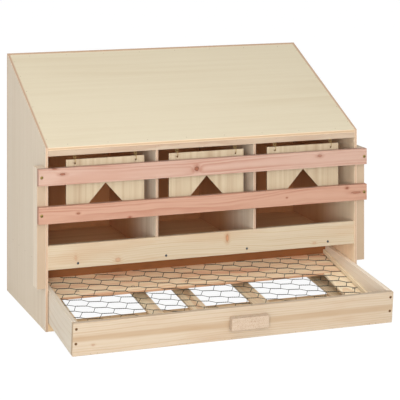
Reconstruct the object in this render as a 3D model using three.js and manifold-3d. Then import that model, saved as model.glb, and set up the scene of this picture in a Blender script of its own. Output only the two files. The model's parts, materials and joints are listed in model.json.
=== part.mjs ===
// A three-nest laying box for hens: a plywood case with a sloping roof, two perch rails in front,
// three entrance flaps hung from screw eyes, and a sloping egg drawer with a wire-netting bed.
// Millimetres. +X is to the right as seen from the front, +Y to the back, +Z up.
// The origin is the middle of the underside of the front base rail.

import * as THREE from "three";
import { mergeVertices } from "three/addons/utils/BufferGeometryUtils.js";
import Module from "manifold-3d";

const wasm = await Module();
wasm.setup();

// ---------- driving dimensions ----------

const GAP = 0.3; // clearance between pieces that are nailed or screwed against each other
const PLY = 6.5; // thickness of the plywood panels
const ROOF_THICKNESS = 7;

const CASE_WIDTH = 866; // over the outer faces of the side panels
const CASE_DEPTH = 384; // front edges of the side panels to the back of the back panel
const BACK_HEIGHT = 650;
const FRONT_HEIGHT = 458;

const RAIL_DEPTH = 18; // base rails, fascia and cleats are cut from the same small batten
const RAIL_HEIGHT = 20;

const LIP_SETBACK = 2;
const LIP_THICKNESS = 12;
const LIP_BOTTOM = 152;
const LIP_TOP = 213;

const FASCIA_BOTTOM = 436;
const DIVIDER_X = 136; // middle of each divider from the middle of the case
const DIVIDER_SETBACK = 3;

const EGG_HOLE_RADIUS = 32;
const EGG_HOLE_Y = 190;
const OUTER_NEST_X = 281;

const LEDGE = { width: 14, height: 9.7, front: 60, back: 340 };

const PERCH_LENGTH = 910;
const PERCH_DEPTH = 14.5;
const PERCH_HEIGHT = 42.2;
const UPPER_PERCH_BOTTOM = 366.3;
const LOWER_PERCH_BOTTOM = 271.5;
const PERCH_BATTEN = { depth: 38, bottom: 108 };
const PERCH_SCREW = { x: 447, headRadius: 4, headHeight: 2, shankRadius: 1.8, length: 34 };

const FLAP_SPACING = 275;
const FLAP_WIDTH = 208;
const FLAP_TOP = 425;
const FLAP_BOTTOM = 283;
const FLAP_Y = 5.5; // middle of the flap's thickness
const NOTCH = { apex: 362, kneeZ: 311, kneeX: 46, mouthX: 72.5 };
const FLAP_HOLE = { z: 414.8, radius: 2.2 };

const HANGER_X = 81; // each hanger from the middle of its flap
const WIRE_RADIUS = 0.75;
const HINGE_Z = 427.4; // bottom wire of the screw eyes, which the flaps turn about
const EYE_RADIUS = 3.6;
const EYE_SHANK = { radius: 0.9, top: 448 };
const RING_RADIUS = 7.4;
const RING_RIDE = 1.8; // the ring's top wire above the eye's bottom wire

const DRAWER_SLOPE = THREE.MathUtils.degToRad(6);
const DRAWER_OUT = 199.8; // the drawer's lower front edge in front of the case
const DRAWER_LIFT = 0.2; // the same edge above the floor
const DRAWER_WIDTH = 850;
const DRAWER_LENGTH = 366;
const DRAWER_HEIGHT = 81;
const DRAWER_BOARD = 12;
const SLAT_THICKNESS = 5.7;
const SLATS = [[-389, -354], [-163, -126], [-48, -4], [123, 168.5], [350, 389]]; // edges of each slat

const BED_START = 16; // height of the netting bed above the drawer's bottom at its front
const BED_RISE = 0.11; // rise over run towards the back
const BED_BOARD = 6;
const REAR_BOARD_FRONT = 247;
const LEFT_BOARD_WIDTH = 30;
const RIGHT_BOARD_WIDTH = 57;
const NETTING = { thickness: 1.2, rib: 2.4, cellLength: 62, cellDepth: 45, cellSide: 31 };
const STRIP = { width: 6, height: 10 };

const HANDLE = { middle: 24.5, width: 99, depth: 16.5, bottom: 29, top: 60 };

const RUNNER = { width: 13.5, height: 18, clearance: 0.6 };

// ---------- derived dimensions ----------

const halfCase = CASE_WIDTH / 2;
const fitX = halfCase - PLY - GAP; // half the width of pieces that fit between the side panels
const backInside = CASE_DEPTH - PLY;
const fitY = backInside - GAP; // back end of pieces that meet the back panel
const roofRise = (BACK_HEIGHT - FRONT_HEIGHT) / CASE_DEPTH;
const roofDrop = ROOF_THICKNESS * Math.hypot(1, roofRise); // roof thickness measured straight down
const floorTop = LIP_BOTTOM + PLY;
const lipBack = LIP_SETBACK + LIP_THICKNESS;

const roofTop = (y) => FRONT_HEIGHT + roofRise * y;
const underRoof = (y) => roofTop(y) - roofDrop - GAP;
const bedTop = (y) => BED_START + BED_RISE * y;

const flapCentres = { left: -FLAP_SPACING, middle: 0, right: FLAP_SPACING };
const hangerPlaces = Object.values(flapCentres).flatMap((x) => [x - HANGER_X, x + HANGER_X]);

const rearBatten = { front: fitY - RAIL_HEIGHT };
rearBatten.bottom = underRoof(rearBatten.front) - RAIL_DEPTH;

// ---------- materials ----------

const finish = (color, roughness, metalness = 0) =>
  new THREE.MeshStandardMaterial({ color, roughness, metalness });
const plywood = () => finish(0xd9c7a3, 0.7);
const pine = () => finish(0xdabf95, 0.65);
const redPine = () => finish(0xd9a68a, 0.65);
const brass = () => finish(0x9a8a4a, 0.35, 1);
const steelWire = () => finish(0x5c605a, 0.45, 1);

// ---------- scene graph ----------

const cabinet = new THREE.Group();
cabinet.position.y = -RAIL_DEPTH / 2;

// everything on the drawer is placed in its own sloping frame: x across, y along, z up from its bottom
const drawer = new THREE.Group();
drawer.position.set(0, -DRAWER_OUT, DRAWER_LIFT);
drawer.rotation.x = DRAWER_SLOPE;
cabinet.add(drawer);

// ---------- shape helpers ----------

function add(group, name, geometry, material) {
  const mesh = new THREE.Mesh(geometry, material);
  mesh.name = name;
  group.add(mesh);
  return mesh;
}

// a squared board between two corners
function board(group, name, low, high, material) {
  const size = high.map((value, axis) => value - low[axis]);
  const mesh = add(group, name, new THREE.BoxGeometry(...size), material);
  mesh.position.set(...low.map((value, axis) => value + size[axis] / 2));
  return mesh;
}

function outline(points) {
  return new THREE.Shape(points.map(([x, y]) => new THREE.Vector2(x, y)));
}

function roundHole(x, y, radius) {
  const path = new THREE.Path();
  path.absarc(x, y, radius, 0, 2 * Math.PI, true);
  return path;
}

function extrude(shape, depth, curveSegments = 16) {
  return new THREE.ExtrudeGeometry(shape, { depth, bevelEnabled: false, curveSegments });
}

// a piece whose outline is drawn in (y, z) and which runs along x from x0 to x1
function alongX(group, name, points, x0, x1, material) {
  const mesh = add(group, name, extrude(outline(points), x1 - x0), material);
  const axes = [new THREE.Vector3(0, 1, 0), new THREE.Vector3(0, 0, 1), new THREE.Vector3(1, 0, 0)];
  mesh.setRotationFromMatrix(new THREE.Matrix4().makeBasis(...axes));
  mesh.position.x = x0;
  return mesh;
}

// ---------- solid joins and cuts ----------

function toSolid(geometry) {
  const plain = geometry.clone();
  plain.deleteAttribute("normal");
  plain.deleteAttribute("uv");
  const merged = mergeVertices(plain, 1e-4);
  const mesh = new wasm.Mesh({
    numProp: 3,
    vertProperties: new Float32Array(merged.attributes.position.array),
    triVerts: new Uint32Array(merged.index.array),
  });
  return new wasm.Manifold(mesh);
}

function toGeometry(solid) {
  const { vertProperties, triVerts } = solid.getMesh();
  const geometry = new THREE.BufferGeometry();
  geometry.setAttribute("position", new THREE.BufferAttribute(new Float32Array(vertProperties), 3));
  geometry.setIndex(new THREE.BufferAttribute(new Uint32Array(triVerts), 1));
  geometry.computeVertexNormals();
  return geometry;
}

// cuts tools, given in the mesh's own coordinates, out of the mesh
function cut(mesh, tools) {
  const rest = tools.reduce((solid, tool) => solid.subtract(toSolid(tool)), toSolid(mesh.geometry));
  mesh.geometry = toGeometry(rest);
}

// ---------- plywood shell ----------

function sidePanel(name, x0) {
  const points = [[0, 0], [fitY, 0], [fitY, roofTop(fitY)], [0, roofTop(0)]];
  alongX(cabinet, name, points, x0, x0 + PLY, plywood());
}

// covers the back ends of the side panels, its top planed to the slope of the roof
function backPanel() {
  const points = [
    [backInside, 0],
    [CASE_DEPTH, 0],
    [CASE_DEPTH, BACK_HEIGHT],
    [backInside, roofTop(backInside)],
  ];
  alongX(cabinet, "back_panel", points, -halfCase, halfCase, plywood());
}

// lies between the side panels, flush with their sloping tops
function roofPanel() {
  const points = [
    [0, roofTop(0) - roofDrop],
    [fitY, roofTop(fitY) - roofDrop],
    [fitY, roofTop(fitY)],
    [0, roofTop(0)],
  ];
  alongX(cabinet, "roof_panel", points, -fitX, fitX, plywood());
}

// nest wall, notched round the lip board, the fascia and the rear top batten
function divider(name, x) {
  const behindFascia = RAIL_DEPTH + GAP;
  const behindLip = lipBack + GAP;
  const beforeBatten = rearBatten.front - GAP;
  const points = [
    [behindLip, floorTop + GAP],
    [fitY, floorTop + GAP],
    [fitY, rearBatten.bottom - GAP],
    [beforeBatten, rearBatten.bottom - GAP],
    [beforeBatten, underRoof(beforeBatten)],
    [behindFascia, underRoof(behindFascia)],
    [behindFascia, FASCIA_BOTTOM - GAP],
    [DIVIDER_SETBACK, FASCIA_BOTTOM - GAP],
    [DIVIDER_SETBACK, LIP_TOP + GAP],
    [behindLip, LIP_TOP + GAP],
  ];
  alongX(cabinet, name, points, x - PLY / 2, x + PLY / 2, plywood());
}

// one floor board under all three nests, with a round egg hole in each
function nestFloor() {
  const front = lipBack + GAP;
  const shape = outline([[-fitX, front], [fitX, front], [fitX, fitY], [-fitX, fitY]]);
  shape.holes = [-OUTER_NEST_X, 0, OUTER_NEST_X].map((x) => roundHole(x, EGG_HOLE_Y, EGG_HOLE_RADIUS));
  const mesh = add(cabinet, "nest_floor", extrude(shape, PLY, 40), plywood());
  mesh.position.z = LIP_BOTTOM;
}

// ---------- battens of the case ----------

// batten under the roof's front edge, drilled from below for the screw eyes
function frontFascia() {
  const points = [
    [0, FASCIA_BOTTOM],
    [RAIL_DEPTH, FASCIA_BOTTOM],
    [RAIL_DEPTH, underRoof(RAIL_DEPTH)],
    [0, underRoof(0)],
  ];
  const fascia = alongX(cabinet, "front_fascia", points, -fitX, fitX, pine());
  const radius = EYE_SHANK.radius + GAP;
  const top = EYE_SHANK.top + GAP;
  const bottom = FASCIA_BOTTOM - 1;
  const drill = new THREE.CylinderGeometry(radius, radius, top - bottom, 12);
  // the fascia's own coordinates run (y, z, x)
  cut(fascia, hangerPlaces.map((x) => drill.clone().translate(FLAP_Y, (top + bottom) / 2, x + fitX)));
}

function rearTopBatten() {
  const { front, bottom } = rearBatten;
  const points = [[front, bottom], [fitY, bottom], [fitY, underRoof(fitY)], [front, underRoof(front)]];
  alongX(cabinet, "rear_top_batten", points, -fitX, fitX, pine());
}

function nestLip() {
  board(cabinet, "nest_lip", [-fitX, LIP_SETBACK, LIP_BOTTOM], [fitX, lipBack, LIP_TOP], pine());
}

// one cleat in each nest, in the corner between the lip board and the floor
function lipCleats() {
  const wall = PLY / 2 + GAP;
  const spans = {
    left: [-fitX, -DIVIDER_X - wall],
    middle: [-DIVIDER_X + wall, DIVIDER_X - wall],
    right: [DIVIDER_X + wall, fitX],
  };
  const y = lipBack + GAP;
  const z = floorTop + GAP;
  for (const [side, [x0, x1]] of Object.entries(spans)) {
    board(cabinet, `lip_cleat_${side}`, [x0, y, z], [x1, y + RAIL_DEPTH, z + RAIL_DEPTH], pine());
  }
}

// short battens on the side panels that carry the ends of the nest floor
function floorLedge(name, x0) {
  const top = LIP_BOTTOM - GAP;
  board(cabinet, name, [x0, LEDGE.front, top - LEDGE.height], [x0 + LEDGE.width, LEDGE.back, top], pine());
}

function baseRails() {
  board(cabinet, "base_rail_front", [-fitX, 0, 0], [fitX, RAIL_DEPTH, RAIL_HEIGHT], pine());
  board(cabinet, "base_rail_rear", [-fitX, fitY - RAIL_DEPTH, 0], [fitX, fitY, RAIL_HEIGHT], pine());
}

// sloping batten on a side panel that the bottom edge of a drawer side slides on
function drawerRunner(name, x0) {
  const steep = Math.tan(DRAWER_SLOPE);
  const top = (y) => DRAWER_LIFT + (y + DRAWER_OUT) * steep - RUNNER.clearance;
  const bottom = (y) => top(y) - RUNNER.height;
  const front = RAIL_DEPTH + GAP;
  const back = fitY - RAIL_DEPTH;
  const points = [[front, bottom(front)], [back, bottom(back)], [back, top(back)], [front, top(front)]];
  alongX(cabinet, name, points, x0, x0 + RUNNER.width, pine());
}

// ---------- perches ----------

const perchBottoms = { upper: UPPER_PERCH_BOTTOM, lower: LOWER_PERCH_BOTTOM };

// pan-head screw pointing along +y from the front face of a perch at y = 0
function screwGeometry() {
  const { headRadius, headHeight, shankRadius, length } = PERCH_SCREW;
  const front = -GAP - headHeight;
  const profile = [
    [0, front],
    [headRadius * 0.55, front],
    [headRadius * 0.88, front + headHeight * 0.35],
    [headRadius, -GAP - headHeight * 0.15],
    [headRadius, -GAP],
    [shankRadius, -GAP],
    [shankRadius, length - 6],
    [0, length],
  ];
  return new THREE.LatheGeometry(profile.map(([r, y]) => new THREE.Vector2(r, y)), 20);
}

function screwHole() {
  const radius = PERCH_SCREW.shankRadius + GAP;
  const depth = PERCH_SCREW.length + GAP + 1;
  return new THREE.CylinderGeometry(radius, radius, depth, 20).translate(0, depth / 2 - 1, 0);
}

function buildPerches() {
  const half = PERCH_LENGTH / 2;
  const left = { name: "left", x: -PERCH_SCREW.x, x0: -half, x1: -halfCase - GAP };
  const right = { name: "right", x: PERCH_SCREW.x, x0: halfCase + GAP, x1: half };
  const screwZ = Object.values(perchBottoms).map((bottom) => bottom + PERCH_HEIGHT / 2);

  for (const [level, z] of Object.entries(perchBottoms)) {
    const low = [-half, -PERCH_DEPTH, z];
    const high = [half, -GAP, z + PERCH_HEIGHT];
    const perch = board(cabinet, `perch_${level}`, low, high, redPine());
    const face = low[1] - perch.position.y;
    cut(perch, [left.x, right.x].map((x) => screwHole().translate(x, face, 0)));
  }

  for (const { name, x, x0, x1 } of [left, right]) {
    const low = [x0, 0, PERCH_BATTEN.bottom];
    const high = [x1, PERCH_BATTEN.depth, UPPER_PERCH_BOTTOM + PERCH_HEIGHT];
    const batten = board(cabinet, `perch_batten_${name}`, low, high, pine());
    const { x: middleX, y: middleY, z: middleZ } = batten.position;
    cut(batten, screwZ.map((z) => screwHole().translate(x - middleX, -PERCH_DEPTH - middleY, z - middleZ)));
    Object.keys(perchBottoms).forEach((level, index) => {
      const screw = add(cabinet, `perch_screw_${name}_${level}`, screwGeometry(), brass());
      screw.position.set(x, -PERCH_DEPTH, screwZ[index]);
    });
  }
}

// ---------- flaps and their hangers ----------

function flapGeometry() {
  const half = FLAP_WIDTH / 2;
  const leftSide = [
    [-half, FLAP_TOP],
    [-half, FLAP_BOTTOM],
    [-NOTCH.mouthX, FLAP_BOTTOM],
    [-NOTCH.kneeX, NOTCH.kneeZ],
  ];
  const rightSide = leftSide.map(([x, z]) => [-x, z]).reverse();
  const shape = outline([...leftSide, [0, NOTCH.apex], ...rightSide]);
  shape.holes = [-HANGER_X, HANGER_X].map((x) => roundHole(x, FLAP_HOLE.z, FLAP_HOLE.radius));
  return extrude(shape, PLY);
}

// eye in the x-z plane with its tapered shank pointing up, centred on the eye
function screwEyeGeometry() {
  const centre = HINGE_Z + EYE_RADIUS;
  const length = EYE_SHANK.top - centre - EYE_RADIUS;
  const eye = new THREE.TorusGeometry(EYE_RADIUS, WIRE_RADIUS, 10, 24).rotateX(Math.PI / 2);
  const shank = new THREE.CylinderGeometry(EYE_SHANK.radius / 2, EYE_SHANK.radius, length, 12);
  shank.rotateX(Math.PI / 2).translate(0, 0, EYE_RADIUS + length / 2);
  return toGeometry(toSolid(eye).add(toSolid(shank)));
}

function buildFlaps() {
  for (const [side, x] of Object.entries(flapCentres)) {
    const flap = add(cabinet, `flap_${side}`, flapGeometry(), plywood());
    flap.rotation.x = Math.PI / 2;
    flap.position.set(x, FLAP_Y + PLY / 2, 0);
  }
  const eyeGeometry = screwEyeGeometry();
  hangerPlaces.forEach((x, index) => {
    const eye = add(cabinet, `hanger_eye_${index + 1}`, eyeGeometry, brass());
    eye.position.set(x, FLAP_Y, HINGE_Z + EYE_RADIUS);
    const torus = new THREE.TorusGeometry(RING_RADIUS, WIRE_RADIUS, 10, 32).rotateY(Math.PI / 2);
    const ring = add(cabinet, `flap_ring_${index + 1}`, torus, brass());
    ring.position.set(x, FLAP_Y, HINGE_Z + RING_RIDE - RING_RADIUS);
  });
}

// ---------- drawer ----------

// a board that follows the slope of the netting bed between two heights measured from it
function bedBoard(name, [x0, x1], [y0, y1], [low, high], material) {
  const points = [
    [y0, bedTop(y0) + low],
    [y1, bedTop(y1) + low],
    [y1, bedTop(y1) + high],
    [y0, bedTop(y0) + high],
  ];
  alongX(drawer, name, points, x0, x1, material);
}

// centres of the hexagonal cells that lie wholly inside the sheet
function cellCentres(half, y0, y1) {
  const { cellLength, cellDepth, cellSide, rib } = NETTING;
  const pitch = (cellLength + cellSide) / 2;
  const columns = Math.floor((half - rib - cellLength / 2) / pitch);
  const centres = [];
  for (let column = -columns; column <= columns; column += 1) {
    const shift = column % 2 === 0 ? 0 : cellDepth / 2;
    const first = y0 + rib + cellDepth / 2 + shift;
    for (let y = first; y <= y1 - rib - cellDepth / 2; y += cellDepth) {
      centres.push([column * pitch, y]);
    }
  }
  return centres;
}

// sheet of elongated hexagons whose twisted sides run across the drawer
function nettingGeometry(half, y0, y1) {
  const { cellLength, cellDepth, cellSide, rib, thickness } = NETTING;
  const tipX = cellLength / 2 - rib / 2;
  const sideX = cellSide / 2 - rib / 4;
  const sideY = (cellDepth - rib) / 2;
  const rightHalf = [[sideX, -sideY], [tipX, 0], [sideX, sideY]];
  const corners = [...rightHalf, ...rightHalf.map(([x, y]) => [-x, -y])];
  const shape = outline([[-half, y0], [half, y0], [half, y1], [-half, y1]]);
  shape.holes = cellCentres(half, y0, y1).map(([x, y]) =>
    new THREE.Path(corners.map(([dx, dy]) => new THREE.Vector2(x + dx, y + dy))));
  return extrude(shape, thickness);
}

function buildBed(fit, near, far) {
  const slope = Math.atan(BED_RISE);
  const stretch = 1 / Math.cos(slope);
  const gapX = 5 * GAP;
  const sheet = nettingGeometry(fit - gapX, (near + 1) * stretch, (far - 1) * stretch);
  const netting = add(drawer, "egg_netting", sheet, steelWire());
  netting.rotation.x = slope;
  netting.position.z = BED_START + GAP;

  const under = [-BED_BOARD, 0];
  const front = [near, REAR_BOARD_FRONT - GAP];
  bedBoard("netting_board_rear", [-fit, fit], [REAR_BOARD_FRONT, far], under, pine());
  bedBoard("netting_board_left", [-fit, -fit + LEFT_BOARD_WIDTH], front, under, pine());
  bedBoard("netting_board_right", [fit - RIGHT_BOARD_WIDTH, fit], front, under, pine());

  const stripBottom = NETTING.thickness * stretch + 2 * GAP;
  const above = [stripBottom, stripBottom + STRIP.height];
  bedBoard("netting_strip_left", [-fit, -fit + STRIP.width], [near, far], above, pine());
  bedBoard("netting_strip_right", [fit - STRIP.width, fit], [near, far], above, pine());
}

function buildDrawer() {
  const half = DRAWER_WIDTH / 2;
  const inner = half - DRAWER_BOARD;
  const back = DRAWER_LENGTH - DRAWER_BOARD;
  const near = DRAWER_BOARD + GAP;
  const far = back - GAP;

  board(drawer, "drawer_front", [-half, 0, 0], [half, DRAWER_BOARD, DRAWER_HEIGHT], pine());
  board(drawer, "drawer_back", [-half, back, 0], [half, DRAWER_LENGTH, DRAWER_HEIGHT], pine());
  board(drawer, "drawer_side_left", [-half, near, 0], [-inner, far, DRAWER_HEIGHT], pine());
  board(drawer, "drawer_side_right", [inner, near, 0], [half, far, DRAWER_HEIGHT], pine());
  SLATS.forEach(([x0, x1], index) => {
    board(drawer, `drawer_slat_${index + 1}`, [x0, near, 0], [x1, far, SLAT_THICKNESS], pine());
  });
  buildBed(inner - GAP, near, far);

  const handleLow = [HANDLE.middle - HANDLE.width / 2, -HANDLE.depth, HANDLE.bottom];
  const handleHigh = [HANDLE.middle + HANDLE.width / 2, -GAP, HANDLE.top];
  board(drawer, "drawer_handle", handleLow, handleHigh, pine());
}

// ---------- assembly ----------

sidePanel("side_panel_left", -halfCase);
sidePanel("side_panel_right", halfCase - PLY);
backPanel();
roofPanel();
frontFascia();
nestLip();
divider("divider_left", -DIVIDER_X);
divider("divider_right", DIVIDER_X);
nestFloor();
lipCleats();
floorLedge("floor_ledge_left", -fitX);
floorLedge("floor_ledge_right", fitX - LEDGE.width);
rearTopBatten();
baseRails();
drawerRunner("drawer_runner_left", -fitX);
drawerRunner("drawer_runner_right", fitX - RUNNER.width);
buildPerches();
buildFlaps();
buildDrawer();

const nestingBox = new THREE.Group();
nestingBox.add(cabinet);

export default nestingBox;
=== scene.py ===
import json
import math

import bmesh
import bpy
from mathutils import Matrix, Vector


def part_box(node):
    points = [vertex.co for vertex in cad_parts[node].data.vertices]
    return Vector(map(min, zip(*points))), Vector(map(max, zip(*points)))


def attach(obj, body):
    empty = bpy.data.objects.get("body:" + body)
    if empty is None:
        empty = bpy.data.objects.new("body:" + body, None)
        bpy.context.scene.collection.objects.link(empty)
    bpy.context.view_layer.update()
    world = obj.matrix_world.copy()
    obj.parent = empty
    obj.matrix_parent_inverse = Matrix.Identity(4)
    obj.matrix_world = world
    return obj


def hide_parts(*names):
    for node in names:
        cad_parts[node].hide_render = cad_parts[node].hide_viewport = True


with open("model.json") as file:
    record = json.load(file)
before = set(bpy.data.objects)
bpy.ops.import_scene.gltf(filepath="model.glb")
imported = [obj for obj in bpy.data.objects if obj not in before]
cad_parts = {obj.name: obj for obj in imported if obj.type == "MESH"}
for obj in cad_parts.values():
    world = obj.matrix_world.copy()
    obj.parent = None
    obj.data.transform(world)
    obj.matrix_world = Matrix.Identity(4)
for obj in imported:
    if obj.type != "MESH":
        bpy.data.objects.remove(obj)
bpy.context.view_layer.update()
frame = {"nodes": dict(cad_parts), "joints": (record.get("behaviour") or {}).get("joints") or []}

NODES = frame["nodes"]
MM = 0.001
X, Y, Z = 0, 1, 2

# sizes that the boxes of the CAD nodes don't give by themselves
ROOF_THICKNESS = 7 * MM
NETTING_THICKNESS = 1.2 * MM
BED_START = 16 * MM
HANDLE_DEPTH = 16.5 * MM

SLATS = [f"drawer_slat_{index + 1}" for index in range(5)]
HANGERS = 6


def srgb(red, green, blue):
    """Linear colour of an 8-bit screen colour."""
    def linear(value):
        value /= 255
        return value / 12.92 if value <= 0.04045 else ((value + 0.055) / 1.055) ** 2.4
    return (linear(red), linear(green), linear(blue), 1.0)


# ---------- shader helpers ----------

class Shader:
    """A node material put together from sockets and plain numbers."""

    def __init__(self, name):
        self.material = bpy.data.materials.new(name)
        self.material.use_nodes = True
        self.tree = self.material.node_tree
        self.tree.nodes.clear()

    def node(self, kind, inputs, output=0, **settings):
        made = self.tree.nodes.new(kind)
        for key, value in settings.items():
            setattr(made, key, value)
        for key, value in inputs.items():
            if isinstance(value, bpy.types.NodeSocket):
                self.tree.links.new(value, made.inputs[key])
            else:
                made.inputs[key].default_value = value
        return made.outputs[output] if len(made.outputs) else None

    def math(self, operation, a, b=0.0, clamp=False):
        return self.node("ShaderNodeMath", {0: a, 1: b}, operation=operation, use_clamp=clamp)

    def add(self, a, b):
        return self.math("ADD", a, b)

    def sub(self, a, b):
        return self.math("SUBTRACT", a, b)

    def mul(self, a, b, clamp=False):
        return self.math("MULTIPLY", a, b, clamp)

    def step(self, value, low, high, start=0.0, end=1.0):
        """Smooth step from start to end as value goes from low to high."""
        return self.node("ShaderNodeMapRange", {0: value, 1: low, 2: high, 3: start, 4: end},
                         interpolation_type="SMOOTHSTEP")

    def mix(self, factor, a, b, blend="MIX"):
        return self.node("ShaderNodeMix", {0: factor, 6: a, 7: b}, output=2, data_type="RGBA",
                         blend_type=blend)

    def combine(self, x, y, z):
        return self.node("ShaderNodeCombineXYZ", {0: x, 1: y, 2: z})

    def noise(self, x, y, z, detail=2.0, roughness=0.5):
        """Noise of a point whose lengths are already multiplied by the patches wanted to the metre."""
        return self.node("ShaderNodeTexNoise", {"Vector": self.combine(x, y, z), "Scale": 1.0,
                                                "Detail": detail, "Roughness": roughness})

    def finish(self, color, roughness, height=None, bump=0.3, distance=0.0004, metallic=0.0, specular=0.3):
        inputs = {"Base Color": color, "Roughness": roughness, "Metallic": metallic,
                  "Specular IOR Level": specular}
        if height is not None:
            inputs["Normal"] = self.node("ShaderNodeBump", {"Strength": bump, "Distance": distance,
                                                            "Height": height})
        surface = self.node("ShaderNodeBsdfPrincipled", inputs)
        self.node("ShaderNodeOutputMaterial", {"Surface": surface})
        return self.material


def board_axes(shader, origin, tilt, axes):
    """Position along the grain, across it and through the thickness, in metres from a corner, and how
    squarely the surface faces along each of the three."""
    coordinates = shader.tree.nodes.new("ShaderNodeTexCoord")
    moved = shader.node("ShaderNodeVectorMath", {0: coordinates.outputs["Object"], 1: origin},
                        operation="SUBTRACT")

    def turned(vector):
        spun = shader.node("ShaderNodeVectorRotate", {"Vector": vector, "Angle": -tilt},
                           rotation_type="X_AXIS")
        parts = shader.tree.nodes.new("ShaderNodeSeparateXYZ")
        shader.tree.links.new(spun, parts.inputs[0])
        return [parts.outputs[axis] for axis in axes]

    return turned(moved), [shader.math("ABSOLUTE", part) for part in turned(coordinates.outputs["Normal"])]


# ---------- wood ----------

KNOT_RIM = (0.03, 0.012, 0.006, 1)


class Knot:
    """A knot at a share of the board's length and width, with its radius in metres. Strength 1 is a dark,
    loose knot, and 0.3 a pale one grown into the wood. Stretch draws it out along the grain."""

    def __init__(self, along, across, radius, strength=1.0, stretch=1.8):
        self.along = along
        self.across = across
        self.radius = radius
        self.strength = strength
        self.stretch = stretch


def knot_masks(shader, along, across, size, knots):
    """How far the knots push the growth rings, and where their halo, dark rim and core show."""
    push, halo, rim, core = 0.0, 0.0, 0.0, 0.0
    for knot in knots:
        du = shader.mul(shader.sub(along, knot.along * size[0]), 1 / knot.stretch)
        dv = shader.sub(across, knot.across * size[1])
        wobble = shader.noise(shader.mul(along, 210), shader.mul(across, 330), knot.along * 9, detail=3)
        distance = shader.math("SQRT", shader.add(shader.mul(du, du), shader.mul(dv, dv)))
        distance = shader.math("DIVIDE", distance, knot.radius)
        distance = shader.add(distance, shader.mul(shader.sub(wobble, 0.5), 1.1))
        push = shader.add(push, shader.step(distance, 4.0, 0.4, 0, knot.radius * 0.9))
        halo = shader.math("MAXIMUM", halo, shader.step(distance, 3.2, 0.8, 0, 0.55 * knot.strength))
        ring = shader.mul(shader.step(distance, 0.55, 0.85), shader.step(distance, 1.35, 0.95))
        rim = shader.math("MAXIMUM", rim, shader.mul(ring, 0.8 * knot.strength))
        core = shader.math("MAXIMUM", core, shader.step(distance, 1.0, 0.55, 0, 0.85 * knot.strength))
    return push, halo, rim, core


def end_grain(shader, across, through, seed):
    """Curved growth rings and pores as they show on a sawn end."""
    x = shader.add(across, 0.021 + 0.013 * math.sin(seed))
    y = shader.add(through, 0.034)
    radius = shader.math("SQRT", shader.add(shader.mul(x, x), shader.mul(y, y)))
    waver = shader.noise(shader.mul(across, 60), shader.mul(through, 60), seed)
    ring = shader.math("FRACT", shader.mul(shader.add(radius, shader.mul(waver, 0.0012)), 460))
    pores = shader.noise(shader.mul(across, 1800), shader.mul(through, 1800), seed, detail=3, roughness=0.7)
    return shader.add(shader.mul(shader.step(ring, 0.35, 0.95), 0.55), shader.mul(pores, 0.5))


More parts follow.
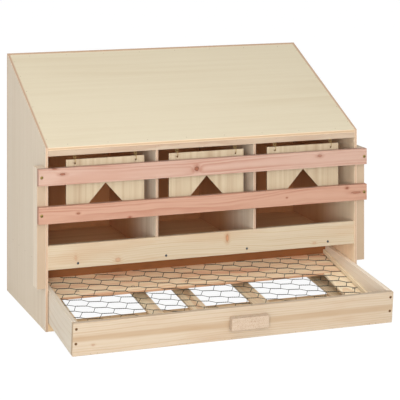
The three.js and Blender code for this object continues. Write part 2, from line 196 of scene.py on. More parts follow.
def softwood(name, origin, size, axes, seed, pale, dark, tilt=0.0, ring_pitch=0.0045, contrast=0.4,
             heart=(0.4, -0.03), wander=0.03, knots=(), knot_color=srgb(160, 98, 62), stain=0.35,
             flush=None, band=None, edge=None, roughness=0.62):
    """Planed softwood. heart is where the tree's middle lies, across the board and below its face, flush a
    colour that clouds parts of it, band the middle and half width of a darker stripe along the board, and
    edge the colour its narrow faces lean to: painted shade on faces that the lamps light more than the rest."""
    shader = Shader(name)
    (along, across, through), facing = board_axes(shader, origin, tilt, axes)
    push, halo, rim, core = knot_masks(shader, along, across, size, knots)

    # growth rings round the tree's middle, which sways along the board
    drift = shader.noise(shader.mul(along, 1.9), shader.mul(across, 2.5), seed * 1.7, detail=1.5)
    swirl = shader.noise(shader.mul(along, 7), shader.mul(across, 16), seed * 2.3, detail=2)
    sway = shader.mul(shader.sub(drift, 0.5), wander * 2)
    sideways = shader.add(shader.sub(across, heart[0] * size[1]), sway)
    deep = shader.sub(through, heart[1])
    radius = shader.math("SQRT", shader.add(shader.mul(sideways, sideways), shader.mul(deep, deep)))
    radius = shader.add(shader.add(radius, push), shader.mul(swirl, ring_pitch * 1.3))
    ring = shader.math("FRACT", shader.math("DIVIDE", radius, ring_pitch))
    latewood = shader.mul(shader.step(ring, 0.1, 0.82), shader.step(ring, 1.0, 0.86))
    fade = shader.noise(shader.mul(along, 3.1), shader.mul(radius, 160), seed * 0.7, detail=2)
    latewood = shader.mul(latewood, shader.step(fade, 0.36, 0.66, 0.25, 1.15))

    # fibres, longer streaks, and clouds of another colour
    fibre = shader.noise(shader.mul(along, 28), shader.mul(across, 900), shader.mul(through, 900), detail=3)
    streak = shader.noise(shader.mul(along, 1.4), shader.mul(across, 62),
                          shader.add(seed, shader.mul(through, 60)), detail=4, roughness=0.6)
    cloud = shader.noise(shader.mul(along, 4), shader.mul(across, 26), seed + 5.5, detail=3)

    tone = shader.mul(latewood, contrast)
    tone = shader.add(tone, shader.mul(shader.sub(streak, 0.46), 1.5 * contrast))
    tone = shader.add(tone, shader.mul(shader.sub(fibre, 0.5), 0.28))
    color = shader.mix(shader.math("MAXIMUM", tone, 0, True), pale, dark)
    if flush is not None:
        color = shader.mix(shader.step(cloud, 0.46, 0.7, 0, stain), color, flush)
    if band is not None:
        place = shader.sub(shader.math("DIVIDE", across, size[1]), shader.mul(shader.sub(drift, 0.5), 0.35))
        offset = shader.math("ABSOLUTE", shader.sub(place, band[0]))
        color = shader.mix(shader.step(offset, band[1] * 1.3, band[1] * 0.4, 0, 0.5), color, dark)
    # painted shade: the faces looking across the width take the edge colour
    if edge is not None:
        color = shader.mix(shader.step(facing[1], 0.5, 0.75), color, edge)
    color = shader.mix(halo, color, shader.mix(0.35, dark, knot_color))
    color = shader.mix(core, color, knot_color)
    color = shader.mix(rim, color, shader.mix(0.45, knot_color, KNOT_RIM))

    # sawn ends
    sawn = shader.step(facing[0], 0.5, 0.7)
    ends = end_grain(shader, across, through, seed)
    end_color = shader.mix(shader.mul(ends, 0.9, True), shader.mix(0.25, pale, dark),
                           shader.mix(0.75, pale, dark))
    color = shader.mix(sawn, color, end_color)
    height = shader.sub(shader.mul(fibre, 0.6), shader.mul(latewood, 0.35))
    rough = shader.add(roughness - 0.08, shader.mul(fibre, 0.18))
    return shader.finish(color, rough, height, bump=0.25, distance=0.0003)


def plywood(name, origin, size, axes, seed, pale, dark, tilt=0.0, figure=0.4, edge_pale=srgb(206, 184, 160),
            edge_dark=srgb(184, 154, 128), inside=None, deep=None):
    """Three-ply board: a rotary-cut face along the grain and layered edges. inside gives the face at the far
    side of the thickness, or at its start, its own tones: painted light and shade on inner faces. deep gives
    painted shade: darker tones that come in from one share of the width to another, for faces that run back
    into the dark of a nest."""
    shader = Shader(name)
    (along, across, through), facing = board_axes(shader, origin, tilt, axes)

    # the flame figure of peeled veneer, faded in places
    drift = shader.noise(shader.mul(along, 0.9), shader.mul(across, 5), seed * 3.1, detail=2.5)
    bands = shader.math("FRACT", shader.add(shader.mul(across, 24), shader.mul(drift, 2.2)))
    figure_line = shader.mul(shader.step(bands, 0.1, 0.75), shader.step(bands, 1.0, 0.8))
    fade = shader.noise(shader.mul(along, 1.6), shader.mul(across, 9), seed + 4.4, detail=2)
    figure_line = shader.mul(figure_line, shader.step(fade, 0.42, 0.68))
    streak = shader.noise(shader.mul(along, 1.5), shader.mul(across, 95), seed, detail=4, roughness=0.62)
    fibre = shader.noise(shader.mul(along, 35), shader.mul(across, 1000), seed, detail=2)
    patch = shader.noise(shader.mul(along, 2.2), shader.mul(across, 3), seed + 2.2, detail=2)

    tone = shader.mul(figure_line, figure * 0.4)
    tone = shader.add(tone, shader.mul(shader.sub(streak, 0.42), figure * 1.2))
    tone = shader.add(tone, shader.mul(shader.sub(patch, 0.5), figure * 0.4))
    tone = shader.add(tone, shader.mul(shader.sub(fibre, 0.5), 0.16))
    tone = shader.math("MAXIMUM", tone, 0, True)
    color = shader.mix(tone, pale, dark)
    # painted light and shade: the inner face takes its own tones
    if inside is not None:
        start, end = (0.6, 0.9) if inside[0] > 0 else (0.4, 0.1)
        inner = shader.step(shader.math("DIVIDE", through, size[2]), start, end)
        color = shader.mix(inner, color, shader.mix(tone, inside[1], inside[2]))
    # painted shade: darker tones further back, on the inner face only where inside is given
    if deep is not None:
        far = shader.step(shader.math("DIVIDE", across, size[1]), deep[0], deep[1])
        if inside is not None:
            far = shader.mul(far, inner)
        color = shader.mix(far, color, shader.mix(tone, deep[2], deep[3]))

    # the layers show on the narrow faces
    layer = shader.math("PINGPONG", shader.math("DIVIDE", through, size[2]), 0.5)
    middle = shader.step(layer, 0.2, 0.26)
    pores = shader.noise(shader.mul(along, 900), shader.mul(across, 900), shader.mul(through, 900), detail=3)
    edge = shader.mix(middle, edge_pale, edge_dark)
    edge = shader.mix(shader.mul(pores, 0.4), edge, edge_dark)
    side = shader.step(facing[2], 0.75, 0.5)
    color = shader.mix(side, color, edge)
    rough = shader.add(0.58, shader.mul(fibre, 0.2))
    return shader.finish(color, rough, shader.add(fibre, shader.mul(streak, 0.4)), bump=0.16, distance=0.0003)


# ---------- metal ----------

def metal(name, color, roughness, tarnish, metallic, amount=0.5, grain=900):
    """Metal with blotches of tarnish, grain of them to the metre and at most amount strong."""
    shader = Shader(name)
    coordinates = shader.tree.nodes.new("ShaderNodeTexCoord").outputs["Object"]
    blotch = shader.node("ShaderNodeTexNoise", {"Vector": coordinates, "Scale": grain, "Detail": 4.0})
    mask = shader.step(blotch, 0.42, 0.66, 0, amount)
    return shader.finish(shader.mix(mask, color, tarnish), shader.add(roughness, shader.mul(mask, 0.35)),
                         blotch, bump=0.2, distance=0.0001, metallic=metallic, specular=0.5)


def shadow_recess(name):
    """Painted shade: the dark inside of a screw's recess, mottled a little."""
    shader = Shader(name)
    coordinates = shader.tree.nodes.new("ShaderNodeTexCoord").outputs["Object"]
    shade_mottle = shader.node("ShaderNodeTexNoise", {"Vector": coordinates, "Scale": 1500.0, "Detail": 2.0})
    return shader.finish(shader.mix(shade_mottle, srgb(38, 34, 30), srgb(66, 58, 50)), 0.8, shade_mottle)


# ---------- where things are ----------

def low(node):
    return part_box(node)[0]


def high(node):
    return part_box(node)[1]


def extent(node):
    return high(node) - low(node)


def middle_x(node):
    return (low(node).x + high(node).x) / 2


SLIDE = next(joint for joint in frame["joints"] if joint["type"] == "slide")
SLOPE = math.atan2(SLIDE["axis"][Z], SLIDE["axis"][Y]) % math.pi
CASE_FRONT = low("side_panel_left").y


def drawer_front_size():
    """Thickness and height of the tilted drawer front, from the size of its box."""
    size = extent("drawer_front")
    cos, sin = math.cos(SLOPE), math.sin(SLOPE)
    spread = cos * cos - sin * sin
    return (size.y * cos - size.z * sin) / spread, (size.z * cos - size.y * sin) / spread


BOARD, DRAWER_HEIGHT = drawer_front_size()
DRAWER_CORNER = Vector((0, high("drawer_front").y - BOARD * math.cos(SLOPE), low("drawer_front").z))
DRAWER = Matrix.Translation(DRAWER_CORNER) @ Matrix.Rotation(SLOPE, 4, "X")
HALF_DRAWER = high("drawer_front").x
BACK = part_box("back_panel")
ROOF_SLOPE = math.atan((BACK[1].z - high("side_panel_left").z) / (BACK[1].y - high("side_panel_left").y))


# ---------- meshes ----------

def new_piece(name, mesh_data, materials, body):
    """A piece of this script's own, which rides on a CAD body."""
    piece = bpy.data.objects.new(name, mesh_data)
    bpy.context.scene.collection.objects.link(piece)
    for material in materials:
        mesh_data.materials.append(material)
    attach(piece, body)
    return piece


def aim(direction):
    """Turns +Z onto a direction."""
    return Vector(direction).to_track_quat("Z", "Y").to_matrix().to_4x4()


def spin(work, profile, segments, place, material=0):
    """Adds a solid of revolution about z, from a profile that starts and ends on the axis."""
    rings = []
    for radius, height in profile:
        if radius < 1e-7:
            rings.append([work.verts.new(place @ Vector((0, 0, height)))])
            continue
        turn = [2 * math.pi * step / segments for step in range(segments)]
        rings.append([work.verts.new(place @ Vector((radius * math.cos(a), radius * math.sin(a), height)))
                      for a in turn])
    for lower, upper in zip(rings, rings[1:]):
        for step in range(segments):
            following = (step + 1) % segments
            corners = {0: lower[step % len(lower)], 1: lower[following % len(lower)],
                       2: upper[following % len(upper)], 3: upper[step % len(upper)]}
            face = work.faces.new(list(dict.fromkeys(corners.values())))
            face.material_index = material
            face.smooth = True


def block(work, size, place, material=0):
    """Adds a box centred on a place."""
    made = bmesh.ops.create_cube(work, size=1.0, matrix=place @ Matrix.Diagonal((*size, 1)))
    for vertex in made["verts"]:
        for face in vertex.link_faces:
            face.material_index = material


def to_mesh(work, name):
    bmesh.ops.recalc_face_normals(work, faces=work.faces)
    mesh = bpy.data.meshes.new(name)
    work.to_mesh(mesh)
    work.free()
    return mesh


def screw_head(work, place, radius, dome, spin_angle=0.6):
    """Cross-recess screw head sunk in a small countersink, its face towards +z."""
    profile = [(0, -0.9 * MM), (radius, -0.5 * MM), (radius, 0.1 * MM), (radius * 0.86, dome * 0.7),
               (radius * 0.5, dome), (0, dome * 1.08)]
    spin(work, profile, 24, place)
    # the cross takes the second material, the dark recess look: painted shade in the recess
    for angle in (spin_angle, spin_angle + math.pi / 2):
        turn = place @ Matrix.Rotation(angle, 4, "Z") @ Matrix.Translation((0, 0, dome * 0.86))
        block(work, (radius * 1.15, radius * 0.24, dome * 0.55 + 0.1 * MM), turn, 1)


def nail_head(work, place, radius):
    """Slightly domed nail head, its face towards +z."""
    profile = [(0, -0.5 * MM), (radius, -0.3 * MM), (radius, 0.08 * MM), (radius * 0.7, 0.25 * MM),
               (0, 0.3 * MM)]
    spin(work, profile, 12, place)


def tube(work, points, radius, sides=6):
    """Adds a round wire along a row of points, with closed ends."""
    rings = []
    for index, point in enumerate(points):
        before, after = points[max(index - 1, 0)], points[min(index + 1, len(points) - 1)]
        direction = (after - before).normalized()
        side = direction.cross(Vector((0, 0, 1)))
        side = side.normalized() if side.length > 1e-6 else Vector((1, 0, 0))
        lift = side.cross(direction)
        turn = [2 * math.pi * step / sides for step in range(sides)]
        rings.append([work.verts.new(point + radius * (math.cos(a) * side + math.sin(a) * lift))
                      for a in turn])
    for first, second in zip(rings, rings[1:]):
        for step in range(sides):
            face = work.faces.new([first[step], first[(step + 1) % sides], second[(step + 1) % sides],
                                   second[step]])
            face.smooth = True
    work.faces.new(rings[0][::-1])
    work.faces.new(rings[-1])


def ease_edges(node, width, segments=2):
    """Rounds the sharp arrises of a board."""
    piece = NODES[node]
    weld = piece.modifiers.new("weld", "WELD")
    weld.merge_threshold = 0.02 * MM
    bevel = piece.modifiers.new("eased_edges", "BEVEL")
    bevel.width = width
    bevel.segments = segments
    bevel.limit_method = "ANGLE"
    bevel.angle_limit = math.radians(35)
    bevel.harden_normals = False


def paint(node, material):
    piece = NODES[node]
    piece.data.materials.clear()
    piece.data.materials.append(material)


# ---------- boards of the case ----------

def paint_board(node, axes, make, seed, tilt=0.0, origin=None, size=None, **look):
    """Gives a board wood of its own. axes are the directions along the grain, across it and through the
    thickness. origin and size take the place of the node's box where the board lies at a tilt."""
    corner = low(node) if origin is None else origin
    box = extent(node)
    lengths = tuple(box[axis] for axis in axes) if size is None else size
    paint(node, make(node + "_look", corner, lengths, axes, seed, tilt=tilt, **look))


def paint_shell():
    panel = {"pale": srgb(213, 199, 179), "dark": srgb(187, 164, 135), "figure": 0.45}
    # painted light: paler, warmer tones for the side panels' inner faces, as if lit from the open front
    warm_lit_inside = (srgb(246, 222, 190), srgb(214, 184, 148))
    # painted shade: darker tones on inner faces further back in the nests
    deep = (0.12, 0.62, srgb(206, 152, 108), srgb(168, 114, 74))
    shade = (srgb(191, 131, 85), srgb(154, 94, 54))
    # paler than the panels' plywood: painted light on the divider faces near the open front; deep paints the
    # shade further back
    divider = {"pale": srgb(248, 230, 206), "dark": srgb(214, 188, 156), "figure": 0.7, "deep": deep,
               "edge_pale": srgb(196, 174, 152), "edge_dark": srgb(174, 144, 120)}
    paint_board("side_panel_left", (Z, Y, X), plywood, 1.3, inside=(1, *warm_lit_inside), deep=deep, **panel)
    paint_board("side_panel_right", (Z, Y, X), plywood, 4.1, inside=(-1, *warm_lit_inside), deep=deep, **panel)
    paint_board("back_panel", (Z, X, Y), plywood, 7.7, inside=(-1, *shade), **panel)
    paint_board("divider_left", (Z, Y, X), plywood, 3.4, **divider)
    paint_board("divider_right", (Z, Y, X), plywood, 9.2, **divider)
    paint_board("nest_floor", (X, Y, Z), plywood, 5.9, pale=srgb(232, 184, 136), dark=srgb(196, 138, 92),
                figure=0.9)
    roof = extent("roof_panel")
    paint_board("roof_panel", (X, Y, Z), plywood, 2.6, tilt=ROOF_SLOPE,
                size=(roof.x, roof.y / math.cos(ROOF_SLOPE), ROOF_THICKNESS), pale=srgb(213, 201, 175),
                dark=srgb(192, 171, 136), figure=0.4, edge_pale=srgb(212, 190, 160),
                edge_dark=srgb(188, 160, 130))
    for index, side in enumerate(("left", "middle", "right")):
        paint_board(f"flap_{side}", (Z, X, Y), plywood, 6.1 + 2.7 * index, pale=srgb(184, 167, 140),
                    dark=srgb(149, 122, 94), figure=1.2, edge_pale=srgb(167, 136, 102),
                    edge_dark=srgb(119, 85, 60))
    for node in ("side_panel_left", "side_panel_right", "back_panel", "divider_left", "divider_right",
                 "roof_panel", "nest_floor", "flap_left", "flap_middle", "flap_right"):
        ease_edges(node, 0.5 * MM)


def paint_battens():
    rosy = {"pale": srgb(181, 161, 139), "dark": srgb(152, 118, 93)}
    paint_board("front_fascia", (X, Z, Y), softwood, 2.2, **rosy, heart=(0.5, -0.05),
                contrast=0.34, flush=srgb(162, 124, 101))
    hidden = {"pale": srgb(224, 196, 156), "dark": srgb(184, 140, 96)}
    for index, node in enumerate(("rear_top_batten", "lip_cleat_left", "lip_cleat_middle", "lip_cleat_right",
                                  "base_rail_front", "base_rail_rear")):
        paint_board(node, (X, Z, Y), softwood, 11.3 + index, **hidden,
                    knots=[Knot(0.3 + 0.07 * index, 0.5, 3 * MM)])
    for index, node in enumerate(("floor_ledge_left", "floor_ledge_right")):
        paint_board(node, (Y, X, Z), softwood, 21.3 + index, **hidden)
    for index, node in enumerate(("drawer_runner_left", "drawer_runner_right")):
        paint_board(node, (Y, X, Z), softwood, 25.1 + index, tilt=SLOPE, **hidden)
    # the side faces take the pale tones and the front and rear faces the darker edge colour: painted light on
    # the sides, painted shade on the fronts
    post = {"pale": srgb(225, 212, 193), "dark": srgb(194, 165, 136), "heart": (0.3, -0.04), "contrast": 0.4,
            "edge": srgb(176, 153, 128)}
    paint_board("perch_batten_left", (Z, Y, X), softwood, 31.1, **post)
    paint_board("perch_batten_right", (Z, Y, X), softwood, 33.7, **post)
    paint_board("nest_lip", (X, Z, Y), softwood, 8.4, pale=srgb(192, 176, 151), dark=srgb(167, 134, 95),
                heart=(-0.3, -0.03), wander=0.035, contrast=0.36,
                knots=[Knot(0.216, 0.2, 5 * MM, 0.4, 1.3), Knot(0.085, 0.42, 6 * MM, 0.25, 0.5),
                       Knot(0.568, 0.72, 9 * MM, 0.75, 0.4), Knot(0.861, 0.18, 2.6 * MM, 0.3)],
                knot_color=srgb(186, 119, 74), flush=srgb(180, 143, 108))
    for node in ("front_fascia", "rear_top_batten", "lip_cleat_left", "lip_cleat_middle", "lip_cleat_right",
                 "base_rail_front", "base_rail_rear", "floor_ledge_left", "floor_ledge_right",
                 "drawer_runner_left", "drawer_runner_right"):
        ease_edges(node, 1.0 * MM)
    for node in ("perch_batten_left", "perch_batten_right", "nest_lip"):
        ease_edges(node, 1.4 * MM, 3)


def paint_perches():
    rosy = {"pale": srgb(184, 152, 135), "dark": srgb(154, 103, 82), "flush": srgb(167, 118, 96),
            "contrast": 0.5, "knot_color": srgb(132, 72, 46)}
    paint_board("perch_upper", (X, Z, Y), softwood, 14.6, **rosy, heart=(0.5, -0.02), wander=0.02,
                knots=[Knot(0.068, 0.64, 2.6 * MM, 0.9, 2.6), Knot(0.463, 0.43, 4.8 * MM, 1.0, 1.2),
                       Knot(0.045, 0.97, 1.5 * MM, 0.8, 4.0), Knot(0.847, 0.72, 3.2 * MM, 0.6, 1.8)])
    deeper = dict(rosy, pale=srgb(182, 142, 120), dark=srgb(152, 94, 70))
    paint_board("perch_lower", (X, Z, Y), softwood, 17.2, **deeper, heart=(0.2, -0.03), wander=0.03,
                knots=[Knot(0.935, 0.82, 2.6 * MM, 1.0, 1.4), Knot(0.263, 0.04, 1.8 * MM, 1.0, 1.6),
                       Knot(0.113, 0.5, 2.0 * MM, 0.8, 1.8), Knot(0.965, 0.5, 2.6 * MM, 0.6, 5.0),
                       Knot(0.742, 0.5, 1.5 * MM, 0.8, 1.5)])
    ease_edges("perch_upper", 1.8 * MM, 3)
    ease_edges("perch_lower", 1.8 * MM, 3)


# ---------- drawer boards ----------

def paint_drawer():
    striped = {"pale": srgb(191, 174, 152), "dark": srgb(163, 131, 94), "tilt": SLOPE}
    shaded = dict(striped, pale=srgb(141, 88, 48), dark=srgb(106, 62, 32))
    # one wood for both sides: the left is darker as painted shade, the right paler as painted light on its
    # inner face, which faces the lamps
    shaded_left_side = dict(striped, pale=srgb(212, 201, 184), dark=srgb(190, 168, 140), contrast=0.36)
    lit_right_side = dict(striped, pale=srgb(240, 227, 208), dark=srgb(215, 190, 158), contrast=0.36)
    wide = 2 * HALF_DRAWER
    length = (high("drawer_back").y - low("drawer_front").y) / math.cos(SLOPE)

    def corner(x):
        return Vector((x, DRAWER_CORNER.y, DRAWER_CORNER.z))

    def lengthwise(node, seed, **look):
        width = extent(node).x
        paint_board(node, (Y, X, Z), softwood, seed, origin=corner(low(node).x),
                    size=(length, width, width), **look)

    paint_board("drawer_front", (X, Z, Y), softwood, 41.5, origin=corner(-HALF_DRAWER),
                size=(wide, DRAWER_HEIGHT, BOARD), heart=(0.45, -0.012), wander=0.016, ring_pitch=0.0052,
                contrast=0.34, knots=[Knot(0.06, 0.3, 2.0 * MM, 0.4)], band=(0.5, 0.1),
                flush=srgb(172, 140, 108), **striped)
    paint_board("drawer_back", (X, Z, Y), softwood, 43.5, origin=corner(-HALF_DRAWER),
                size=(wide, DRAWER_HEIGHT, BOARD), heart=(0.6, -0.03), **shaded)
    for index, (side, look) in enumerate((("left", shaded_left_side), ("right", lit_right_side))):
        node = f"drawer_side_{side}"
        paint_board(node, (Y, Z, X), softwood, 45.5 + index, origin=corner(low(node).x),
                    size=(length, DRAWER_HEIGHT, BOARD), heart=(0.3, -0.02), **look)
    # paler than the wood: painted light on the bed boards, which lie in the shade under the lip
    lit_bed = dict(striped, pale=srgb(252, 236, 204), dark=srgb(230, 188, 144), contrast=0.5)
    # paler still: painted light that hides the shade the drawer sides cast on the strips
    strip = dict(striped, pale=srgb(245, 231, 202), dark=srgb(218, 190, 152))
    for index, node in enumerate(SLATS):
        lengthwise(node, 51.5 + index, heart=(0.3 + 0.1 * index, -0.03), **lit_bed)
    for index, node in enumerate(("netting_board_left", "netting_board_right")):
        lengthwise(node, 61.5 + index, **lit_bed)
    # its edge colour darkens the front face: painted shade where the low lamp lights it strongly
    paint_board("netting_board_rear", (X, Y, Z), softwood, 63.5, origin=low("netting_board_rear"),
                heart=(0.3, -0.05), wander=0.04, edge=srgb(196, 152, 118), flush=srgb(222, 158, 118),
                stain=0.6, **dict(lit_bed, contrast=0.75))
    for index, node in enumerate(("netting_strip_left", "netting_strip_right")):
        lengthwise(node, 65.5 + index, **strip)
    for node in ("drawer_front", "drawer_back", "drawer_side_left", "drawer_side_right"):
        ease_edges(node, 1.2 * MM, 3)
    for node in (*SLATS, "netting_board_left", "netting_board_right", "netting_board_rear",
                 "netting_strip_left", "netting_strip_right"):
        ease_edges(node, 0.7 * MM)


def paint_handle():
    """Short block cut across the grain, speckled with pores."""
    shader = Shader("drawer_handle_look")
    across, up, out = board_axes(shader, low("drawer_handle"), SLOPE, (X, Z, Y))[0]
    speck = shader.noise(shader.mul(across, 520), shader.mul(up, 900), shader.mul(out, 520), detail=4,
                         roughness=0.7)
    rows = shader.noise(shader.mul(across, 30), shader.mul(up, 240), 3.0, detail=3)
    tone = shader.add(shader.step(speck, 0.42, 0.68), shader.mul(shader.sub(rows, 0.5), 0.8))
    color = shader.mix(shader.mul(tone, 0.8, True), srgb(193, 174, 153), srgb(157, 126, 98))
    paint("drawer_handle", shader.finish(color, 0.7, speck, bump=0.35))
    ease_edges("drawer_handle", 1.6 * MM, 3)


# ---------- wire ----------

def twisted(start, step, offset, phase):
    """One wire of a twisted pair, as points round the straight line from start along step."""
    count = 14
    turns = 2.5
    direction = step.normalized()
    side = direction.cross(Vector((0, 0, 1)))
    points = []
    for index in range(count + 1):
        angle = phase + 2 * math.pi * turns * index / count
        ring = offset * (math.cos(angle) * side + math.sin(angle) * Vector((0, 0, 1)))
        points.append(start + step * (index / count) + ring)
    return points


def inside_runs(points, half, length):
    """The stretches of a row of points that lie on the sheet."""
    runs, run = [], []
    for point in points:
        if abs(point.x) <= half and 0 <= point.y <= length:
            run.append(point)
        elif run:
            runs.append(run)
            run = []
    runs.append(run)
    return [run for run in runs if len(run) > 2]


def refined(points, longest):
    """The same line with no step longer than a limit."""
    fine = [points[0]]
    for first, second in zip(points, points[1:]):
        count = max(1, math.ceil((second - first).length / longest))
        fine.extend(first.lerp(second, (index + 1) / count) for index in range(count))
    return fine


def build_netting(material):
    """Hexagon netting of paired wires, twisted together across the drawer and open between. The net lies a
    little askew in the drawer, so its cells lean."""
    low_corner, high_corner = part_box("egg_netting")
    size = high_corner - low_corner
    slope = math.atan2(size.z - NETTING_THICKNESS, size.y)
    length = size.y / math.cos(slope) - 1 * MM
    half = high_corner.x - 0.5 * MM
    sheet = Matrix.Translation((0, low_corner.y, low_corner.z)) @ Matrix.Rotation(slope, 4, "X")
    wire = 0.75 * MM
    pair = 0.7 * MM
    twist = Vector((27, -3.5, 0)) * MM
    shallow = Vector((19.8, -10.5, 0)) * MM
    steep = Vector((-13.3, -22, 0)) * MM
    across, down = twist + shallow, shallow + steep
    first_knot = Vector((-14, 236, 0)) * MM
    unevenness = 1.2 * MM
    ripple = 0.9 * MM
    longest_step = 6 * MM
    reach = 26
    work = bmesh.new()

    def knot_point(i, j):
        jitter = Vector((math.sin(i * 12.9 + j * 78.2), math.sin(i * 39.3 + j * 11.7), 0)) * unevenness
        return first_knot + across * i + down * j + jitter

    def strand(row, climbs):
        points = []
        for i in range(-reach, reach + 1):
            start = knot_point(i, row - i if climbs else row)
            points.extend(twisted(start, twist, pair, math.pi if climbs else 0))
        return refined(points, longest_step)

    def lifted(point):
        wave = 0.5 * math.sin(point.x * 23 + point.y * 31) + 0.4 * math.sin(point.x * 61 - point.y * 17 + 1.3)
        return sheet @ Vector((point.x, point.y, NETTING_THICKNESS / 2 + wave * ripple))

    for climbs in (False, True):
        for row in range(-reach, reach + 1):
            for run in inside_runs(strand(row, climbs), half, length):
                tube(work, [lifted(point) for point in run], wire, 5)
    piece = new_piece("netting_wires", to_mesh(work, "netting_wires"), [material], "egg_drawer")
    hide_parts("egg_netting")


def smooth_shade(node):
    for polygon in NODES[node].data.polygons:
        polygon.use_smooth = True


def paint_hangers(material):
    for index in range(HANGERS):
        for node in (f"hanger_eye_{index + 1}", f"flap_ring_{index + 1}"):
            paint(node, material)
            smooth_shade(node)


# ---------- screws and nails ----------

def perch_screw_recesses(brass, recess):
    """The perch screws' brass, and the cross recesses in their heads as dark blocks: painted shade."""
    slot = (3.6 * MM, 0.9 * MM, 0.5 * MM)
    for side in ("left", "right"):
        for level in ("upper", "lower"):
            node = f"perch_screw_{side}_{level}"
            paint(node, brass)
            smooth_shade(node)
            box_low, box_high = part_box(node)
            middle = Vector(((box_low.x + box_high.x) / 2, box_low.y, (box_low.z + box_high.z) / 2))
            work = bmesh.new()
            for angle in (0.5, 0.5 + math.pi / 2):
                place = Matrix.Translation(middle) @ aim((0, -1, 0)) @ Matrix.Rotation(angle, 4, "Z")
                block(work, slot, place)
            new_piece(f"screw_recess_{side}_{level}", to_mesh(work, "recess"), [recess], "case")


def lip_screws(steel, recess):
    """Four screws low in the lip, at shares of its length."""
    work = bmesh.new()
    corner = low("nest_lip")
    z = corner.z + 12 * MM
    for share in (0.092, 0.369, 0.633, 0.908):
        place = Matrix.Translation((corner.x + share * extent("nest_lip").x, corner.y, z)) @ aim((0, -1, 0))
        screw_head(work, place, radius=3.2 * MM, dome=0.8 * MM, spin_angle=share * 9)
    new_piece("lip_screws", to_mesh(work, "lip_screws"), [steel, recess], "case")


def drawer_screws(steel, recess):
    """Two screws at each end of the drawer front."""
    work = bmesh.new()
    from_end = 8 * MM
    for x in (-HALF_DRAWER + from_end, HALF_DRAWER - from_end):
        for height in (DRAWER_HEIGHT - 14 * MM, 31 * MM):
            place = DRAWER @ Matrix.Translation((x, 0, height)) @ aim((0, -1, 0))
            screw_head(work, place, radius=3.5 * MM, dome=0.5 * MM, spin_angle=height * 40)
    new_piece("drawer_screws", to_mesh(work, "drawer_screws"), [steel, recess], "egg_drawer")


def drawer_nails(steel):
    """Two nails in the handle, and two through the drawer front into each slat."""
    work = bmesh.new()
    handle_height, slat_height = 48.5 * MM, 3.2 * MM
    spots = [(middle_x("drawer_handle") + offset * MM, -HANDLE_DEPTH, handle_height, 1.0 * MM)
             for offset in (1.5, 11.5)]
    spots += [(middle_x(node) + offset * MM, 0, slat_height, 0.9 * MM)
              for node in SLATS for offset in (-9, 9)]
    for x, y, z, radius in spots:
        nail_head(work, DRAWER @ Matrix.Translation((x, y, z)) @ aim((0, -1, 0)), radius)
    new_piece("drawer_nails", to_mesh(work, "drawer_nails"), [steel], "egg_drawer")


def nail(work, spot, facing, radius):
    nail_head(work, Matrix.Translation(spot) @ aim(facing), radius)


def roof_nails(work):
    """Along both sides of the roof, then along its front and rear edges."""
    roof_low, roof_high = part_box("roof_panel")
    depth = roof_high.y - roof_low.y
    rise = math.tan(ROOF_SLOPE)
    facing = (0, -math.sin(ROOF_SLOPE), math.cos(ROOF_SLOPE))
    front_top = roof_high.z - depth * rise
    up_side, across = 6, 8
    from_side, from_end = 4 * MM, 9 * MM
    for side in (-1, 1):
        for step in range(up_side):
            y = roof_low.y + depth * (step + 0.5) / up_side
            z = front_top + (y - roof_low.y) * rise
            nail(work, (side * (roof_high.x - from_side), y, z), facing, 1.0 * MM)
    for y in (roof_low.y + from_end, roof_high.y - from_end):
        z = front_top + (y - roof_low.y) * rise
        for step in range(across):
            nail(work, (roof_high.x * (2 * (step + 0.5) / across - 1), y, z), facing, 0.9 * MM)


def back_nails(work):
    """Rows across the back panel, into the side panels and the dividers."""
    panel_low, panel_high = BACK
    from_side, into_divider = 4 * MM, 3 * MM
    columns = (panel_low.x + from_side, low("divider_left").x + into_divider,
               low("divider_right").x + into_divider, panel_high.x - from_side)
    for share in (0.06, 0.27, 0.5, 0.73, 0.95):
        for x in columns:
            nail(work, (x, panel_high.y, share * panel_high.z), (0, 1, 0), 1.2 * MM)


def fascia_nails(work):
    """One beside each screw eye, and three at the left divider."""
    face = low("front_fascia").y
    height = low("front_fascia").z + 11 * MM
    for index in range(HANGERS):
        x = middle_x(f"hanger_eye_{index + 1}") + 2 * MM
        nail(work, (x, face, height), (0, -1, 0), 0.8 * MM)
    for offset in (-9 * MM, 0, 7 * MM):
        x = high("divider_left").x + offset
        nail(work, (x, face, height + offset * 0.2), (0, -1, 0), 0.7 * MM)


def side_nails(work):
    """Up the front edge of each side panel, then a row into the nest floor."""
    from_front, from_lip = 8 * MM, 15 * MM
    row_start, row_pitch = 70 * MM, 62 * MM
    heights = (low("nest_lip").z + from_lip, high("nest_lip").z - from_lip, low("front_fascia").z + 8 * MM,
               9 * MM)
    floor_middle = low("nest_floor").z + 3 * MM
    for side in (-1, 1):
        x = side * high("side_panel_right").x
        for z in heights:
            nail(work, (x, CASE_FRONT + from_front, z), (side, 0, 0), 1.1 * MM)
        for step in range(5):
            y = CASE_FRONT + row_start + step * row_pitch
            nail(work, (x, y, floor_middle), (side, 0, 0), 1.1 * MM)


def case_nails(steel):
    """All the nails of the case, as one piece."""
    work = bmesh.new()
    roof_nails(work)
    back_nails(work)
    fascia_nails(work)
    side_nails(work)
    new_piece("case_nails", to_mesh(work, "case_nails"), [steel], "case")


def bed_slope():
    """Rise over run of the netting inside the drawer's own sloping frame."""
    size = extent("egg_netting")
    return math.tan(math.atan2(size.z - NETTING_THICKNESS, size.y) - SLOPE)


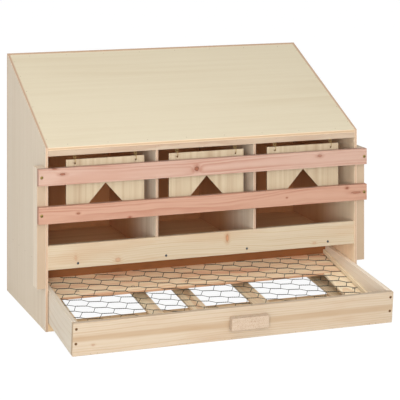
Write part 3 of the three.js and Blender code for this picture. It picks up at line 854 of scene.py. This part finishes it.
def staples(steel):
    """Wire staples that hold the netting on its boards: a row along the rear board, two at each side."""
    work = bmesh.new()
    slope = bed_slope()
    above_bed = 1.5 * MM
    outline = ((-4, -2.5), (-4, 0.3), (-3.4, 0.8), (3.4, 0.8), (4, 0.3), (4, -2.5))
    spots = [(x * MM, 270 * MM) for x in (-330, -180, -30, 120, 270)]
    spots += [(side * 395 * MM, y * MM) for side in (-1, 1) for y in (60, 150)]
    for x, y in spots:
        top = BED_START + slope * y + above_bed
        tube(work, [DRAWER @ Vector((x + side * MM, y, top + up * MM)) for side, up in outline], 0.45 * MM, 6)
    new_piece("netting_staples", to_mesh(work, "netting_staples"), [steel], "egg_drawer")


# ---------- studio ----------

WORLD_LIGHT = 0.5
KEY_LIGHT = 24
FRONT_LIGHT = 62
LOW_LIGHT = 74
LEFT_LIGHT = 14
BACKDROP_GLOW = 1.08
BACKDROP_SHARE = 0.88

CAMERA_HOME = Vector((-1.418557, -3.443891, 1.121651))
CAMERA_TURN = -0.318022
CAMERA_LENS = 129.172
LENS_SHIFT = (("shift_x", 0.24741), ("shift_y", -0.79656))


def build_floor():
    """White paper that glows only where the camera sees it, so that it takes shadows but stays bright."""
    mesh = bpy.data.meshes.new("floor")
    work = bmesh.new()
    bmesh.ops.create_grid(work, x_segments=1, y_segments=1, size=30)
    work.to_mesh(mesh)
    work.free()
    floor = bpy.data.objects.new("floor", mesh)
    bpy.context.scene.collection.objects.link(floor)
    shader = Shader("floor_look")
    paper = shader.node("ShaderNodeBsdfDiffuse", {"Color": (0.86, 0.86, 0.86, 1)})
    glow = shader.node("ShaderNodeEmission", {"Color": (1, 1, 1, 1), "Strength": BACKDROP_GLOW})
    seen = shader.node("ShaderNodeLightPath", {})
    backdrop = shader.node("ShaderNodeMixShader", {0: shader.mul(seen, BACKDROP_SHARE), 1: paper, 2: glow})
    shader.node("ShaderNodeOutputMaterial", {"Surface": backdrop})
    mesh.materials.append(shader.material)
    floor.location.z = -0.2 * MM


def build_world():
    """White to the camera, and dimmer as a light."""
    world = bpy.data.worlds.new("studio")
    bpy.context.scene.world = world
    world.use_nodes = True
    tree = world.node_tree
    tree.nodes.clear()
    output = tree.nodes.new("ShaderNodeOutputWorld")
    background = tree.nodes.new("ShaderNodeBackground")
    path = tree.nodes.new("ShaderNodeLightPath")
    strength = tree.nodes.new("ShaderNodeMapRange")
    strength.inputs[3].default_value = WORLD_LIGHT
    strength.inputs[4].default_value = 1.0
    tree.links.new(path.outputs["Is Camera Ray"], strength.inputs[0])
    tree.links.new(strength.outputs[0], background.inputs["Strength"])
    background.inputs["Color"].default_value = (1, 1, 1, 1)
    tree.links.new(background.outputs[0], output.inputs["Surface"])


def area_light(name, location, target, size, power):
    data = bpy.data.lights.new(name, "AREA")
    data.shape = "DISK"
    data.size = size
    data.energy = power
    lamp = bpy.data.objects.new(name, data)
    bpy.context.scene.collection.objects.link(lamp)
    lamp.location = location
    lamp.rotation_mode = "QUATERNION"
    lamp.rotation_quaternion = (Vector(target) - Vector(location)).to_track_quat("-Z", "Y")


def build_lights():
    centre = (0, 0, 0.3)
    area_light("key", (-1.5, -2.2, 2.9), centre, 1.6, KEY_LIGHT)
    area_light("front_fill", (0.4, -3.7, 1.7), centre, 2.0, FRONT_LIGHT)
    area_light("low_fill", (-1.8, -3.4, 0.8), centre, 1.6, LOW_LIGHT)
    area_light("left_fill", (-3.2, 0.2, 1.6), centre, 1.6, LEFT_LIGHT)


def build_camera():
    """Level camera with a shifted lens, as used for upright product pictures. The shift is on only at the
    home position, so that views from other sides stay centred."""
    data = bpy.data.cameras.new("camera")
    camera = bpy.data.objects.new("camera", data)
    bpy.context.scene.collection.objects.link(camera)
    camera.location = CAMERA_HOME
    camera.rotation_euler = (math.radians(90), 0, CAMERA_TURN)
    data.sensor_width = 36
    data.lens = CAMERA_LENS
    for path, shift in LENS_SHIFT:
        curve = data.driver_add(path)
        curve.driver.type = "SCRIPTED"
        place = curve.driver.variables.new()
        place.name = "x"
        place.type = "TRANSFORMS"
        place.targets[0].id = camera
        place.targets[0].transform_type = "LOC_X"
        place.targets[0].transform_space = "WORLD_SPACE"
        curve.driver.expression = f"{shift} if abs(x - {CAMERA_HOME.x:.6f}) < 0.0005 else 0"
    bpy.context.scene.camera = camera
    bpy.context.scene.view_settings.view_transform = "Standard"
    bpy.context.scene.view_settings.look = "None"


# ---------- the scene ----------

paint_shell()
paint_battens()
paint_perches()
paint_drawer()
paint_handle()

wire_look = metal("hanger_wire_look", srgb(176, 148, 96), 0.4, srgb(104, 82, 50), metallic=0.55)
netting_look = metal("netting_look", srgb(64, 64, 54), 0.55, srgb(38, 38, 32), metallic=0.3)
brass_look = metal("screw_brass_look", srgb(150, 130, 70), 0.4, srgb(88, 70, 34), metallic=0.75)
steel_look = metal("dark_screw_look", srgb(84, 88, 94), 0.45, srgb(52, 54, 60), metallic=0.7)
bronze_look = metal("bronze_screw_look", srgb(128, 92, 56), 0.45, srgb(78, 54, 34), metallic=0.6)
nail_look = metal("nail_look", srgb(150, 120, 84), 0.55, srgb(110, 84, 58), metallic=0.5)
# dark material for the screws' cross recesses: painted shade
recess_look = shadow_recess("recess_look")

paint_hangers(wire_look)
build_netting(netting_look)
perch_screw_recesses(brass_look, recess_look)
lip_screws(steel_look, recess_look)
drawer_screws(bronze_look, recess_look)
drawer_nails(nail_look)
case_nails(nail_look)
staples(steel_look)

build_floor()
build_world()
build_lights()
build_camera()
